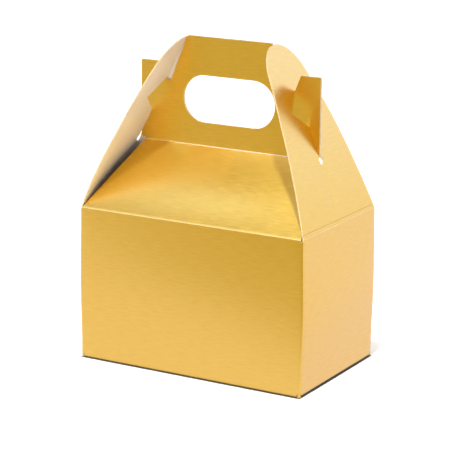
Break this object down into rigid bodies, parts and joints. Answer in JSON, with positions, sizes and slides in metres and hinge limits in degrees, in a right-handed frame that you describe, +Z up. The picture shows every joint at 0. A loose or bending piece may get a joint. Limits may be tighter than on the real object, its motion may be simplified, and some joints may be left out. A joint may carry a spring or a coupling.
{
  "type": "favour box",
  "caption": "Folding paperboard favour box with a gable roof, a finger-hole handle, side flaps that hook over its ears, and a tuck-in base.",
  "frame": {"origin": "middle of the base, on the surface that the box stands on", "axes": "+X along the wide front to its right, -Y towards the front, +Z up to the handle"},
  "size_m": [0.1016, 0.0636, 0.1322],
  "materials": {
    "foil_board": "satin metallic foil face",
    "plain_board": "uncoated"
  },
  "bodies": {
    "carton": {"front_panel": "foil_board", "back_panel": "foil_board", "left_panel": "foil_board", "right_panel": "foil_board", "glue_flap": "plain_board"},
    "front_roof": {"front_roof": "foil_board"},
    "back_roof": {"back_roof": "foil_board"},
    "front_handle": {"front_handle": "foil_board", "front_handle_left_ear": "foil_board", "front_handle_right_ear": "foil_board"},
    "back_handle": {"back_handle": "foil_board", "back_handle_left_ear": "foil_board", "back_handle_right_ear": "foil_board"},
    "left_side_flap": {"left_side_flap": "foil_board"},
    "right_side_flap": {"right_side_flap": "foil_board"},
    "base_panel": {"base_panel": "foil_board"},
    "tuck_flap": {"tuck_flap": "plain_board"},
    "left_dust_flap": {"left_dust_flap": "plain_board"},
    "right_dust_flap": {"right_dust_flap": "plain_board"}
  },
  "joints": [
    {"name": "front_roof_fold", "type": "hinge", "parent": "carton", "child": "front_roof", "pos_m": [0, -0.03175, 0.0635], "axis": [1, 0, 0], "range_deg": [0, 140]},
    {"name": "back_roof_fold", "type": "hinge", "parent": "carton", "child": "back_roof", "pos_m": [0, 0.03175, 0.0635], "axis": [-1, 0, 0], "range_deg": [0, 140]},
    {"name": "front_handle_fold", "type": "hinge", "parent": "front_roof", "child": "front_handle", "pos_m": [0, -0.00055, 0.0877], "axis": [-1, 0, 0], "range_deg": [0, 50]},
    {"name": "back_handle_fold", "type": "hinge", "parent": "back_roof", "child": "back_handle", "pos_m": [0, 0.00055, 0.0877], "axis": [1, 0, 0], "range_deg": [0, 50]},
    {"name": "right_flap_fold", "type": "hinge", "parent": "carton", "child": "right_side_flap", "pos_m": [0.0508, 0, 0.0635], "axis": [0, 1, 0], "range_deg": [0, 110], "deforming": ["front_handle_right_ear", "back_handle_right_ear"]},
    {"name": "left_flap_fold", "type": "hinge", "parent": "carton", "child": "left_side_flap", "pos_m": [-0.0508, 0, 0.0635], "axis": [0, -1, 0], "range_deg": [0, 110], "deforming": ["front_handle_left_ear", "back_handle_left_ear"]},
    {"name": "base_fold", "type": "hinge", "parent": "carton", "child": "base_panel", "pos_m": [0, -0.03175, 0], "axis": [-1, 0, 0], "range_deg": [0, 100]},
    {"name": "tuck_fold", "type": "hinge", "parent": "base_panel", "child": "tuck_flap", "pos_m": [0, 0.0309, 0], "axis": [-1, 0, 0], "range_deg": [0, 75]},
    {"name": "right_dust_fold", "type": "hinge", "parent": "carton", "child": "right_dust_flap", "pos_m": [0.0508, 0, 0.0005], "axis": [0, -1, 0], "range_deg": [0, 60]},
    {"name": "left_dust_fold", "type": "hinge", "parent": "carton", "child": "left_dust_flap", "pos_m": [-0.0508, 0, 0.0005], "axis": [0, 1, 0], "range_deg": [0, 60]}
  ],
  "couplings": [
    {"joint": "back_roof_fold", "follows": "front_roof_fold", "ratio": 1},
    {"joint": "front_handle_fold", "follows": "front_roof_fold", "ratio": 0.35714},
    {"joint": "back_handle_fold", "follows": "front_roof_fold", "ratio": 0.35714},
    {"joint": "right_flap_fold", "follows": "front_roof_fold", "ratio": 0.78571},
    {"joint": "left_flap_fold", "follows": "front_roof_fold", "ratio": 0.78571},
    {"joint": "tuck_fold", "follows": "base_fold", "ratio": 0.75},
    {"joint": "right_dust_fold", "follows": "base_fold", "ratio": 0.6},
    {"joint": "left_dust_fold", "follows": "base_fold", "ratio": 0.6}
  ]
}
